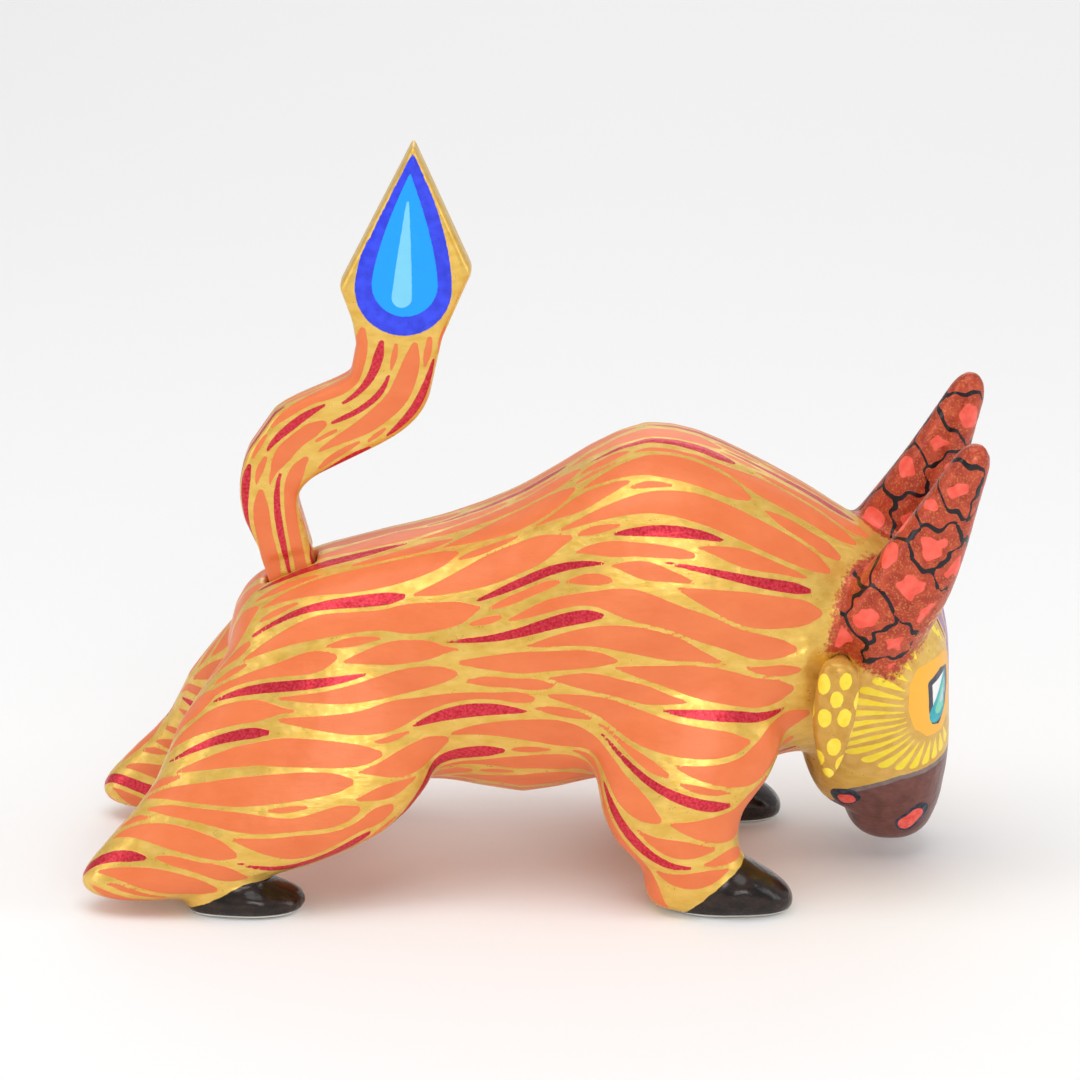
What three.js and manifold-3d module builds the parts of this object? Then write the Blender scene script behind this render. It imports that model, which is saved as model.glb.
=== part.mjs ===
/**
 * Carved and painted wooden bull: a block for the trunk and legs, a separate head on a dowel,
 * pegged horns and ears, and a flat tail that lifts out of its socket.
 * Millimetres, +Z up, the bull faces +X, its right side is -Y, and its hooves stand on Z = 0.
 */
import * as THREE from 'three';
import { mergeVertices } from 'three/addons/utils/BufferGeometryUtils.js';
import Module from 'manifold-3d';

// Driving dimensions
const FIT_GAP = 0.3; // between glued pieces
const HOOF_SPREAD = 27.5; // from the middle plane to the middle of each hoof
const SOLE_LEVEL = 2.2; // the hooves are cut flat here, in the carving's own frame
const NECK_JOINT = new THREE.Vector3(56.5, 0, 50); // middle of the joint between neck and head
const NECK_LEAN = THREE.MathUtils.degToRad(9); // the joint plane leans forward at its top
const HEAD_MIDDLE = new THREE.Vector3(62, 0, 47);
const HEAD_ROLL = THREE.MathUtils.degToRad(14); // the head tips towards its right shoulder
const HEAD_YAW = THREE.MathUtils.degToRad(-2); // and turns a little towards it
const DOWEL_RADIUS = 4;
const DOWEL_REACH = 12; // into each side of the neck joint
const NAIL_TOP = new THREE.Vector3(50, -21.7, 53); // where the nail starts on the neck
const NAIL_WAY = new THREE.Vector3(20, 16, -26); // and the way that it runs
const NAIL_RADIUS = 0.8;
const NAIL_HEAD_RADIUS = 1.5;
const NAIL_HEAD_THICKNESS = 0.8;
const NAIL_LENGTH = 22;
const NAIL_SINK = 0.8; // how far its head sits under the wood's surface
const HORN_PEG = { radius: 3.6, length: 6 };
const EAR_PEG = { radius: 2.2, length: 8 };
const LEFT_EAR_LIFT = 6; // the left ear is set higher than the right one
const PEG_OVERLAP = 3; // how far a peg runs on inside its own horn or ear
const TAIL_THICKNESS = 9;
const TAIL_BEVEL = 1.6;
const TAIL_GAP = 0.6; // the tail's foot stands loose in its socket
const TAIL_FOOT = new THREE.Vector3(-49.4, 0, 65); // middle of the tail where it leaves the rump
const TAIL_LEAN = THREE.MathUtils.degToRad(-17); // the tail's foot leans back
const TAIL_FOOT_WIDTH = 9.6;
const TAIL_SOCKET_DEPTH = 13;

const RIGHT = -1;
const LEFT = 1;

const wasm = await Module();
wasm.setup();

/** A closed three.js geometry as a solid that can be joined and cut. */
function toSolid(geometry) {
  const bare = geometry.clone();
  bare.deleteAttribute('normal');
  bare.deleteAttribute('uv');
  const merged = mergeVertices(bare, 1e-4);
  return new wasm.Manifold(new wasm.Mesh({
    numProp: 3,
    vertProperties: new Float32Array(merged.attributes.position.array),
    triVerts: new Uint32Array(merged.index.array),
  }));
}

/** A solid as a three.js geometry. */
function toGeometry(solid) {
  const mesh = solid.getMesh();
  const geometry = new THREE.BufferGeometry();
  geometry.setAttribute('position', new THREE.BufferAttribute(mesh.vertProperties, 3));
  geometry.setIndex(new THREE.BufferAttribute(mesh.triVerts, 1));
  geometry.computeVertexNormals();
  return geometry;
}

function joined(geometries) {
  return toGeometry(geometries.map(toSolid).reduce((whole, piece) => whole.add(piece)));
}

function cut(geometry, tools) {
  return toGeometry(tools.map(toSolid).reduce((rest, tool) => rest.subtract(tool), toSolid(geometry)));
}

function trimmed(geometry, keep) {
  return toGeometry(toSolid(geometry).intersect(toSolid(keep)));
}

/** Rounds off the ends of a stacked shape: 0 at each end, 1 from a cap's length inside it. */
function endRounding(t, cap) {
  const inside = Math.min(t, 1 - t) / cap;
  return inside >= 1 ? 1 : Math.sqrt(1 - (1 - inside) ** 2);
}

/** One direction of a superellipse: a power of 2 is an ellipse, and more is squarer. */
function squared(value, power) {
  return Math.sign(value) * Math.abs(value) ** (2 / power);
}

/**
 * A smooth closed shape of slices stacked along Z.
 * Each slice is [z, x, y, half its size along x, half its size along y].
 */
function stack(slices, around, along, { power = 2.1, cap = 0.1 } = {}) {
  const middles = new THREE.CatmullRomCurve3(slices.map(([z, x, y]) => new THREE.Vector3(x, y, z)));
  const halves = new THREE.CatmullRomCurve3(slices.map((s) => new THREE.Vector3(s[3], s[4], 0)));
  const geometry = new THREE.SphereGeometry(1, around, along).rotateX(Math.PI / 2);
  const position = geometry.attributes.position;
  for (let i = 0; i < position.count; i += 1) {
    const up = THREE.MathUtils.clamp(position.getZ(i), -1, 1);
    const even = 1 - Math.acos(up) / Math.PI;
    const t = (even + (1 + up) / 2) / 2; // rows crowd towards the ends
    const angle = Math.atan2(position.getY(i), position.getX(i));
    const reach = endRounding(t, cap);
    const middle = middles.getPoint(t);
    const half = halves.getPoint(t);
    const x = middle.x + half.x * reach * squared(Math.cos(angle), power);
    const y = middle.y + half.y * reach * squared(Math.sin(angle), power);
    position.setXYZ(i, x, y, middle.z);
  }
  return geometry;
}

/** The same, stacked along +X: each slice is [x, z, y, half its height, half its width]. */
function stackAlongX(slices, around, along, shape) {
  const turned = slices.map(([x, z, y, tall, wide]) => [x, -z, y, tall, wide]);
  return stack(turned, around, along, shape).rotateY(Math.PI / 2);
}

/** A round bar between two points. */
function bar(from, to, radius, sides = 16) {
  const axis = to.clone().sub(from);
  const geometry = new THREE.CylinderGeometry(radius, radius, axis.length(), sides);
  const up = new THREE.Vector3(0, 1, 0);
  geometry.applyQuaternion(new THREE.Quaternion().setFromUnitVectors(up, axis.normalize()));
  return geometry.translate(...from.clone().lerp(to, 0.5));
}

/** A place and a turn, in radians about X, Y and Z. */
function seat(x, y, z, turnX, turnY, turnZ) {
  const turn = new THREE.Quaternion().setFromEuler(new THREE.Euler(turnX, turnY, turnZ));
  return new THREE.Matrix4().compose(new THREE.Vector3(x, y, z), turn, new THREE.Vector3(1, 1, 1));
}

// --- trunk and legs ---------------------------------------------------------------------------

function trunk() {
  return stackAlongX([
    [-62, 48, 0, 9, 14],
    [-54, 49, 0, 13, 19],
    [-44, 47, 0, 19.5, 22.5],
    [-30, 46, 0, 24.3, 24.5],
    [-18, 47.3, 0, 25.9, 26],
    [-3, 49, 0, 30.3, 27.5],
    [10, 54.3, 0, 33, 28.5],
    [21, 57.5, 0, 34.5, 28],
    [31, 57, 0, 33.5, 27],
    [41, 55, 0, 31, 25],
    [52, 53.5, 0, 26.5, 22],
    [62, 49.8, 0, 24, 19],
    [74, 49, 0, 19, 17],
  ], 32, 30, { power: 2.3, cap: 0.06 });
}

function hindLeg(side) {
  return stack([
    [4, -79, 27 * side, 9, 5.5],
    [8, -74, 27.5 * side, 15.8, 7.5],
    [12, -65.3, 27 * side, 22.5, 8.5],
    [18, -56, 25.5 * side, 26.4, 9.5],
    [26, -48.5, 22 * side, 27, 11],
    [36, -44.5, 17 * side, 26.5, 12.5],
    [46, -41, 13 * side, 23, 13],
    [56, -39, 10 * side, 17, 12],
    [64, -38, 9 * side, 10, 8],
  ], 24, 20, { cap: 0.08 });
}

function frontLeg(side) {
  return stack([
    [2, 28.3, HOOF_SPREAD * side, 6.5, 6.5],
    [6.5, 29, HOOF_SPREAD * side, 8.5, 7.5],
    [11, 29.7, HOOF_SPREAD * side, 10, 8],
    [16, 26.8, 26.5 * side, 12, 9],
    [22, 26, 25 * side, 14, 10],
    [28, 28, 22.5 * side, 17, 11.5],
    [36, 28, 18.5 * side, 20, 13],
    [48, 28, 13 * side, 20, 14],
    [60, 27, 10 * side, 14, 12],
  ], 24, 20, { cap: 0.08 });
}

/** A low hoof, pointed at the toe and highest where the leg stands on it. */
function hoof(toe, side, rise) {
  return stackAlongX([
    [toe - 24, 4, HOOF_SPREAD * side, 2.5, 5],
    [toe - 17, 4.8, HOOF_SPREAD * side, 4.2, 7.6],
    [toe - 11, (rise + 0.6) / 2, HOOF_SPREAD * side, (rise - 0.6) / 2, 8.5],
    [toe - 5, (0.76 * rise + 1) / 2, HOOF_SPREAD * side, (0.76 * rise - 1) / 2, 7.2],
    [toe, 4, HOOF_SPREAD * side, 1.8, 3.4],
  ], 20, 14, { power: 2.2, cap: 0.12 });
}

/** Everything above the soles. */
function aboveSoles() {
  const size = 400;
  return new THREE.BoxGeometry(size, size, size).translate(0, 0, SOLE_LEVEL + size / 2);
}

// --- neck joint -------------------------------------------------------------------------------

const neckAxis = new THREE.Vector3(Math.cos(NECK_LEAN), 0, -Math.sin(NECK_LEAN));

function alongNeck(distance) {
  return NECK_JOINT.clone().addScaledVector(neckAxis, distance);
}

/** Everything behind (-1) or in front of (+1) the neck joint, less half the gap. */
function sideOfNeck(direction) {
  const size = 300;
  const middle = alongNeck(direction * (size + FIT_GAP) / 2);
  return new THREE.BoxGeometry(size, size, size).rotateY(NECK_LEAN).translate(...middle);
}

function neckDowel(room = 0) {
  const reach = DOWEL_REACH + room;
  return bar(alongNeck(-reach), alongNeck(reach), DOWEL_RADIUS + room, 20);
}

/** The nail through the neck's right side, or the bore for it when it is given room. */
function neckNail(room = 0) {
  const inward = NAIL_WAY.clone().normalize();
  const at = (depth) => NAIL_TOP.clone().addScaledVector(inward, depth);
  const outside = room > 0 ? -8 : NAIL_SINK;
  const shank = bar(at(NAIL_SINK), at(NAIL_SINK + NAIL_LENGTH + room), NAIL_RADIUS + room, 12);
  const underHead = NAIL_SINK + NAIL_HEAD_THICKNESS + room;
  return joined([shank, bar(at(outside), at(underHead), NAIL_HEAD_RADIUS + room, 12)]);
}

// --- head, in its own frame -------------------------------------------------------------------

const headSeat = seat(...HEAD_MIDDLE, HEAD_ROLL, 0, HEAD_YAW);

function skull() {
  return stack([
    [-35, 6.5, 0, 8.5, 9],
    [-30.5, 6, 0, 13, 12],
    [-21, 5, 0, 15, 14.5],
    [-8, 5.3, 0, 14.2, 17.5],
    [4, 4.5, 0, 14.3, 19.5],
    [12, 3, 0, 14, 18.5],
    [18, 2, 0, 12.5, 14.5],
    [24, 0, 0, 8, 9],
  ], 28, 22, { power: 2.3 });
}

function muzzle() {
  return stack([
    [-41.5, 8.5, 0, 5, 7],
    [-38, 8.5, 0, 8.5, 10.5],
    [-31, 8.5, 0, 10.5, 12.5],
    [-24, 9, 0, 10.5, 13],
    [-16, 9, 0, 9, 11],
  ], 24, 14, { power: 2.4, cap: 0.14 });
}

const hornSeat = (side) => seat(2.3, 12.5 * side, 10, -0.04 * side, 0.45, 0).premultiply(headSeat);

function earSeat(side) {
  const lift = side === LEFT ? LEFT_EAR_LIFT : 0;
  return seat(-2.8 - lift / 2, 23 * side, 10 + lift, 0.22 * side, 0.1, 0).premultiply(headSeat);
}


/** A horn at its seat, pointing along its own +Z. */
function hornBlade() {
  return stack([
    [-2, -0.3, 0, 7.6, 7],
    [6, 0.8, 0, 9.2, 8],
    [16, 1.5, 0, 8.4, 7],
    [27, 1.2, 0, 6.6, 5.6],
    [38, 0.2, 0, 4.7, 4.2],
    [49.5, -0.8, 0, 3, 3],
  ], 18, 18, { power: 2, cap: 0.09 });
}

/** An ear at its seat: a flat leaf that hangs along its own -Z. */
function earBlade() {
  return stack([
    [-24, 0.6, 0, 0.7, 0.7],
    [-19, 0.3, 0, 2.7, 1.6],
    [-12, 0, 0, 4.2, 2.3],
    [-5, 0, 0, 4.3, 2.8],
    [1.5, -0.3, 0, 3.2, 2.8],
  ], 18, 16, { power: 2 });
}

function hornPeg(side, room = 0) {
  const inside = new THREE.Vector3(0, 0, -HORN_PEG.length - room);
  const outside = new THREE.Vector3(0, 0, PEG_OVERLAP);
  return bar(inside, outside, HORN_PEG.radius + room, 16).applyMatrix4(hornSeat(side));
}

function earPeg(side, room = 0) {
  const inside = new THREE.Vector3(0, -side * (EAR_PEG.length + room), -2);
  const outside = new THREE.Vector3(0, side, -2);
  return bar(inside, outside, EAR_PEG.radius + room, 14).applyMatrix4(earSeat(side));
}

/** A shape grown by a little along each axis from a centre, to keep the glue gap round it. */
function withRoom(geometry, room) {
  geometry.computeBoundingBox();
  const size = geometry.boundingBox.getSize(new THREE.Vector3());
  const middle = geometry.boundingBox.getCenter(new THREE.Vector3());
  const grown = size.clone().addScalar(2 * room).divide(size);
  return geometry.clone().translate(...middle.clone().negate()).scale(...grown).translate(...middle);
}

// --- tail -------------------------------------------------------------------------------------

const tailSeat = seat(...TAIL_FOOT, 0, TAIL_LEAN, 0);

/** The flat zigzag board with its diamond, from the rump up. */
function tailBoard() {
  const outline = new THREE.Shape();
  outline.moveTo(-53.9, 65);
  outline.lineTo(-58, 74);
  outline.bezierCurveTo(-59.5, 79, -59, 84, -56.9, 88.4);
  outline.lineTo(-51.9, 95.6);
  outline.bezierCurveTo(-48, 98.8, -41, 100.5, -36.9, 103.2);
  outline.lineTo(-35.7, 109.5);
  outline.lineTo(-36.4, 114);
  outline.lineTo(-38.9, 121.1);
  outline.lineTo(-24.3, 149.6);
  outline.lineTo(-13, 124.1);
  outline.lineTo(-18.9, 110.7);
  outline.lineTo(-21.5, 99);
  outline.bezierCurveTo(-23, 94, -28, 90.8, -33, 88.4);
  outline.lineTo(-43.2, 83.3);
  outline.bezierCurveTo(-46.5, 81.4, -48, 79, -47.2, 76.5);
  outline.lineTo(-44.7, 67.7);
  const thickness = TAIL_THICKNESS - 2 * TAIL_BEVEL;
  const board = new THREE.ExtrudeGeometry(outline, {
    depth: thickness,
    curveSegments: 6,
    bevelThickness: TAIL_BEVEL,
    bevelSize: TAIL_BEVEL,
    bevelOffset: -TAIL_BEVEL,
    bevelSegments: 2,
  });
  return board.translate(0, 0, -thickness / 2).rotateX(Math.PI / 2);
}

/** The tail's foot below the rump's surface, or its socket when it is given room. */
function tailFoot(room = 0) {
  const above = 4 + 3 * room;
  const below = TAIL_SOCKET_DEPTH - TAIL_GAP + room;
  const width = TAIL_FOOT_WIDTH + 2 * room;
  const thick = TAIL_THICKNESS - 1 + 2 * room;
  const foot = new THREE.BoxGeometry(width, thick, above + below);
  return foot.translate(0, 0, (above - below) / 2).applyMatrix4(tailSeat);
}

// --- the pieces -------------------------------------------------------------------------------

/** What is hollowed out of both blocks for the dowel, the nail, the horns and the ears. */
function seatsAtTheHead() {
  const seats = [RIGHT, LEFT].flatMap((side) => [
    withRoom(hornBlade().applyMatrix4(hornSeat(side)), FIT_GAP),
    withRoom(earBlade().applyMatrix4(earSeat(side)), FIT_GAP),
    hornPeg(side, FIT_GAP),
    earPeg(side, FIT_GAP),
  ]);
  return [neckDowel(FIT_GAP), neckNail(FIT_GAP), ...seats];
}

function bodyBlock() {
  const legs = [RIGHT, LEFT].flatMap((side) => [
    hindLeg(side),
    frontLeg(side),
    hoof(-45.5, side, 9.4),
    hoof(50, side, 12.4),
  ]);
  const carving = joined([trimmed(trunk(), sideOfNeck(-1)), ...legs]);
  return cut(trimmed(carving, aboveSoles()), [tailFoot(TAIL_GAP), ...seatsAtTheHead()]);
}

function headBlock() {
  const face = joined([skull(), muzzle()]).applyMatrix4(headSeat);
  return cut(trimmed(joined([face, trunk()]), sideOfNeck(1)), seatsAtTheHead());
}

function horn(side) {
  return joined([hornBlade().applyMatrix4(hornSeat(side)), hornPeg(side)]);
}

function ear(side) {
  return joined([earBlade().applyMatrix4(earSeat(side)), earPeg(side)]);
}

function tail() {
  return joined([tailBoard(), tailFoot()]);
}

function painted(color, roughness, metalness) {
  return new THREE.MeshStandardMaterial({ color, roughness, metalness });
}

const orangeOverGold = painted('#ee8347', 0.45, 0.15);
const goldPaint = painted('#deb154', 0.4, 0.5);
const redBrown = painted('#a8432b', 0.5, 0.1);
const bareWood = painted('#d9bd8b', 0.7, 0);
const steel = painted('#8d8d8a', 0.35, 1);

const figure = new THREE.Group();

function addPiece(name, geometry, material) {
  const mesh = new THREE.Mesh(geometry, material);
  mesh.name = name;
  figure.add(mesh);
}

addPiece('body_block', bodyBlock(), orangeOverGold);
addPiece('head', headBlock(), goldPaint);
addPiece('neck_dowel', neckDowel(), bareWood);
addPiece('neck_nail', neckNail(), steel);
addPiece('horn_right', horn(RIGHT), redBrown);
addPiece('horn_left', horn(LEFT), redBrown);
addPiece('ear_right', ear(RIGHT), goldPaint);
addPiece('ear_left', ear(LEFT), goldPaint);
addPiece('tail', tail(), orangeOverGold);

const extent = new THREE.Box3().setFromObject(figure);
const middle = extent.getCenter(new THREE.Vector3());
figure.position.set(-middle.x, -middle.y, -extent.min.z);

export default figure;
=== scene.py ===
"""The painted wooden bull: smooth carved skins over the CAD solids, with hand-painted strokes."""

import math
import random

import bmesh
import bpy
import numpy as np
from mathutils import Matrix, Vector
from mathutils.bvhtree import BVHTree
from mathutils.kdtree import KDTree


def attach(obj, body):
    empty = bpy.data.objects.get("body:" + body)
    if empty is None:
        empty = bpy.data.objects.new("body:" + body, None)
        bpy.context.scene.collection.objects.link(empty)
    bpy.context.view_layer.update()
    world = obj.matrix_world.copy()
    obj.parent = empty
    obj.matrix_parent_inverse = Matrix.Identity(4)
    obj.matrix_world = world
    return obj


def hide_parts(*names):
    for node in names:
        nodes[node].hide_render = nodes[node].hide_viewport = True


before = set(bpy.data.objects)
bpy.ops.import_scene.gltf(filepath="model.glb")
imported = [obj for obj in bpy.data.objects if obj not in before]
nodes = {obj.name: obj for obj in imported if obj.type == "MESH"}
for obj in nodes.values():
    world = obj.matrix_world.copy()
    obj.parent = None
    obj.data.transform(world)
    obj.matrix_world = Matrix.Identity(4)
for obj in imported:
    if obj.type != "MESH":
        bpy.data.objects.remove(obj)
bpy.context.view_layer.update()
MM = 0.001

# ---- places: the carving's own frame, in millimetres, lies a little off the row frame ------------

CARVING = Vector((1.27, 0.0, -2.2)) * MM
RIGHT = -1
LEFT = 1


def turn(about_x, about_y, about_z):
    """A rotation in radians, about Z first, then Y, then X."""
    x = Matrix.Rotation(about_x, 3, "X")
    y = Matrix.Rotation(about_y, 3, "Y")
    return x @ y @ Matrix.Rotation(about_z, 3, "Z")


class Seat:
    """A place and a turn in the row frame, and the way in and out of its own millimetres."""

    def __init__(self, place, rotation):
        self.place = place
        self.rotation = rotation

    def inner(self, place, rotation):
        return Seat(self.out(place), self.rotation @ rotation)

    def out(self, point):
        return self.place + self.rotation @ (Vector(point) * MM)

    def axis(self, direction):
        return self.rotation @ Vector(direction)

    def local(self, points):
        return (points - np.array(self.place)) @ np.array(self.rotation) / MM


CARVING_SEAT = Seat(CARVING, Matrix.Identity(3))
NECK = CARVING_SEAT.inner((56.5, 0, 50), turn(0, math.radians(9), 0))
HEAD = CARVING_SEAT.inner((62, 0, 47), turn(math.radians(14), 0, math.radians(-2)))
HORN = {
    side: HEAD.inner((2.3, 12.5 * side, 10), turn(-0.04 * side, 0.45, 0))
    for side in (RIGHT, LEFT)
}
EAR = {
    RIGHT: HEAD.inner((-2.8, -23, 10), turn(-0.22, 0.1, 0)),
    LEFT: HEAD.inner((-5.8, 23, 16), turn(0.22, 0.1, 0)),
}
TAIL_FOOT = CARVING_SEAT.inner((-49.4, 0, 65), turn(0, math.radians(-17), 0))
HORN_CUT = 12.5  # the horn skins start this far up each horn, less on its outer side
HORN_CUT_SLOPE = 0.38
HORN_TIP = 49
HORN_RADIUS = 11  # no skin but the horn's own lies within this of its line, at the cut
NAIL_HEAD_EDGE = (50.9, -22.5, 52.1)
TOE_TOP = 17  # the front hooves reach up to here in front of the neck's plane


# ---- camera, floor and light ---------------------------------------------------------------------

PICTURE_WIDTH = 1080
SENSOR_WIDTH = 36.0


def make_camera():
    """The bull's right side from a little above, through a long lens."""
    elevation = math.radians(16.5)
    distance = 1.06
    pixels_per_mm = 5.07
    target = CARVING_SEAT.out((0, 0, 69))
    data = bpy.data.cameras.new("camera")
    data.sensor_width = SENSOR_WIDTH
    data.lens = SENSOR_WIDTH * pixels_per_mm * distance / MM / PICTURE_WIDTH
    data.clip_end = 20.0
    camera = bpy.data.objects.new("camera", data)
    out = Vector((0.0, -math.cos(elevation), math.sin(elevation)))
    camera.location = target + out * distance
    camera.rotation_euler = (-out).to_track_quat("-Z", "Y").to_euler()
    bpy.context.scene.collection.objects.link(camera)
    bpy.context.scene.camera = camera


make_camera()


def area_light(name, place, aim, size, power):
    data = bpy.data.lights.new(name, "AREA")
    data.shape = "RECTANGLE"
    data.size = size[0]
    data.size_y = size[1]
    data.energy = power
    light = bpy.data.objects.new(name, data)
    light.location = place
    light.rotation_euler = (Vector(aim) - Vector(place)).to_track_quat("-Z", "Y").to_euler()
    bpy.context.scene.collection.objects.link(light)


def make_studio():
    """A white floor, a soft box above, one at each side, and a pale surround."""
    floor = bpy.data.meshes.new("floor")
    half = 6.0
    corners = [(-half, -half, 0), (half, -half, 0), (half, half, 0), (-half, half, 0)]
    floor.from_pydata(corners, [], [(0, 1, 2, 3)])
    sheet = link("floor", floor)
    sheet.location.z = -0.0002
    material = bpy.data.materials.new("floor_paper")
    material.use_nodes = True
    shader = material.node_tree.nodes["Principled BSDF"]
    shader.inputs["Base Color"].default_value = (0.93, 0.93, 0.93, 1)
    shader.inputs["Roughness"].default_value = 0.85
    floor.materials.append(material)
    aim = (0.0, 0.0, 0.06)
    area_light("top_softbox", (-0.1, -0.25, 1.1), aim, (1.1, 0.8), 5.6)
    area_light("front_softbox", (0.25, -1.2, 0.5), aim, (0.7, 0.4), 3.8)
    area_light("left_softbox", (-1.2, -0.3, 0.45), aim, (0.4, 0.8), 2.2)
    area_light("right_softbox", (1.2, -0.2, 0.5), aim, (0.4, 0.8), 2.2)
    area_light("back_softbox", (0.1, 1.2, 0.7), aim, (1.0, 0.7), 2.6)
    world = bpy.data.worlds.new("surround")
    bpy.context.scene.world = world
    world.use_nodes = True
    world.node_tree.nodes["Background"].inputs["Color"].default_value = (1, 1, 1, 1)
    world.node_tree.nodes["Background"].inputs["Strength"].default_value = 0.52
    bpy.context.scene.view_settings.view_transform = "Standard"


# ---- mesh tools ----------------------------------------------------------------------------------

def link(name, mesh):
    obj = bpy.data.objects.new(name, mesh)
    bpy.context.scene.collection.objects.link(obj)
    return obj


def points_of(mesh):
    flat = np.empty(len(mesh.vertices) * 3)
    mesh.vertices.foreach_get("co", flat)
    return flat.reshape(-1, 3)


def normals_of(mesh):
    flat = np.empty(len(mesh.vertices) * 3)
    mesh.vertex_normals.foreach_get("vector", flat)
    return flat.reshape(-1, 3)


def set_points(mesh, points):
    mesh.vertices.foreach_set("co", points.ravel())
    mesh.update()


def joined_copy(name, sources):
    """One mesh of several CAD nodes, as they lie."""
    build = bmesh.new()
    for source in sources:
        build.from_mesh(nodes[source].data)
    mesh = bpy.data.meshes.new(name)
    build.to_mesh(mesh)
    build.free()
    return link(name, mesh)


def applied(obj):
    """The object with its modifiers made real."""
    bpy.context.view_layer.update()
    evaluated = obj.evaluated_get(bpy.context.evaluated_depsgraph_get())
    mesh = bpy.data.meshes.new_from_object(evaluated)
    obj.modifiers.clear()
    old = obj.data
    obj.data = mesh
    bpy.data.meshes.remove(old)
    mesh.name = obj.name
    return obj


def remeshed(obj, voxel):
    modifier = obj.modifiers.new("skin", "REMESH")
    modifier.mode = "VOXEL"
    modifier.voxel_size = voxel
    return applied(obj)


def subdivided(obj):
    modifier = obj.modifiers.new("finer", "SUBSURF")
    modifier.levels = 1
    modifier.render_levels = 1
    return applied(obj)


def edges_of(mesh):
    flat = np.empty(len(mesh.edges) * 2, dtype=np.int64)
    mesh.edges.foreach_get("vertices", flat)
    return flat.reshape(-1, 2)


def to_neighbours(points, edges, count):
    """From each point to the middle of its neighbours."""
    total = np.zeros_like(points)
    for axis in range(3):
        column = points[:, axis]
        total[:, axis] = np.bincount(edges[:, 0], column[edges[:, 1]], len(points))
        total[:, axis] += np.bincount(edges[:, 1], column[edges[:, 0]], len(points))
    return total / count[:, None] - points


SMOOTHING = 0.6  # how far a point goes towards the middle of its neighbours, and how far back
GIVE_BACK = 0.35
FILLING = 0.8
CAP_AREA = 4e-6  # in square metres: only the flat faces that close a cut are bigger


def smoothed(obj, rounds):
    """Evens a skin out. Each round gives back part of what it took, so that it barely shrinks."""
    points = points_of(obj.data)
    edges = edges_of(obj.data)
    count = np.bincount(edges.ravel(), minlength=len(points))
    for _ in range(rounds):
        points = points + SMOOTHING * to_neighbours(points, edges, count)
        points = points - GIVE_BACK * to_neighbours(points, edges, count)
    set_points(obj.data, points)
    return obj


def filled_creases(obj, rounds, weight):
    """Fills the hollow creases where limbs meet, as gesso does, and leaves the rest alone."""
    points = points_of(obj.data)
    edges = edges_of(obj.data)
    count = np.bincount(edges.ravel(), minlength=len(points))
    for step in range(rounds):
        if step % 8 == 0:
            set_points(obj.data, points)
            normals = normals_of(obj.data)
        outward = np.sum(to_neighbours(points, edges, count) * normals, axis=1)
        points = points + normals * (FILLING * weight * np.clip(outward, 0, None))[:, None]
    set_points(obj.data, points)
    return obj


def biggest_shell(obj):
    """Drops the small closed pockets that a remesh leaves inside a skin."""
    edges = edges_of(obj.data)
    label = np.arange(len(obj.data.vertices))
    while True:
        lowest = np.minimum(label[edges[:, 0]], label[edges[:, 1]])
        new = label.copy()
        np.minimum.at(new, edges[:, 0], lowest)
        np.minimum.at(new, edges[:, 1], lowest)
        new = new[new]
        if np.array_equal(new, label):
            break
        label = new
    spare = label != np.bincount(label).argmax()
    build = bmesh.new()
    build.from_mesh(obj.data)
    build.verts.ensure_lookup_table()
    loose = [build.verts[i] for i in np.nonzero(spare)[0]]
    bmesh.ops.delete(build, geom=loose, context="VERTS")
    build.to_mesh(obj.data)
    build.free()
    return obj


def closed(build):
    """Closes every open rim with a flat face and a sharp edge."""
    layers = build.edges.layers.float
    crease = layers.get("crease_edge") or layers.new("crease_edge")
    rim = [edge for edge in build.edges if edge.is_boundary]
    for face in build.faces:
        if face.calc_area() < CAP_AREA:
            face.smooth = True
    for edge in rim:
        edge.smooth = False
        edge[crease] = 1.0
    for face in bmesh.ops.holes_fill(build, edges=rim)["faces"]:
        face.smooth = False


def connected_to(vertex):
    """Every point that can be reached along edges."""
    found = {vertex}
    waiting = [vertex]
    while waiting:
        for edge in waiting.pop().link_edges:
            for near in edge.verts:
                if near not in found:
                    found.add(near)
                    waiting.append(near)
    return found


def taken_off(obj, name, place, normal, reach, tip):
    """Cuts obj along a plane within reach, and makes a closed piece of the side that holds the tip."""
    build = bmesh.new()
    build.from_mesh(obj.data)
    middles = np.array([face.calc_center_median() for face in build.faces])
    build.faces.ensure_lookup_table()
    near = [build.faces[i] for i in np.nonzero(reach(middles))[0]]
    points = {vertex for face in near for vertex in face.verts}
    edges = {edge for face in near for edge in face.edges}
    geometry = [*points, *edges, *near]
    cut = bmesh.ops.bisect_plane(build, geom=geometry, dist=1e-7, plane_co=place, plane_no=normal)
    rim = [item for item in cut["geom_cut"] if isinstance(item, bmesh.types.BMEdge)]
    bmesh.ops.split_edges(build, edges=rim)
    first = min(build.verts, key=lambda vertex: (vertex.co - tip).length_squared)
    taken = connected_to(first)
    for vertex in build.verts:
        vertex.tag = vertex in taken
    other = build.copy()
    bmesh.ops.delete(build, geom=[vertex for vertex in build.verts if vertex.tag], context="VERTS")
    bmesh.ops.delete(other, geom=[vertex for vertex in other.verts if not vertex.tag], context="VERTS")
    mesh = bpy.data.meshes.new(name)
    for half, target in ((build, obj.data), (other, mesh)):
        closed(half)
        half.to_mesh(target)
        half.free()
    return link(name, mesh)


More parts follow.
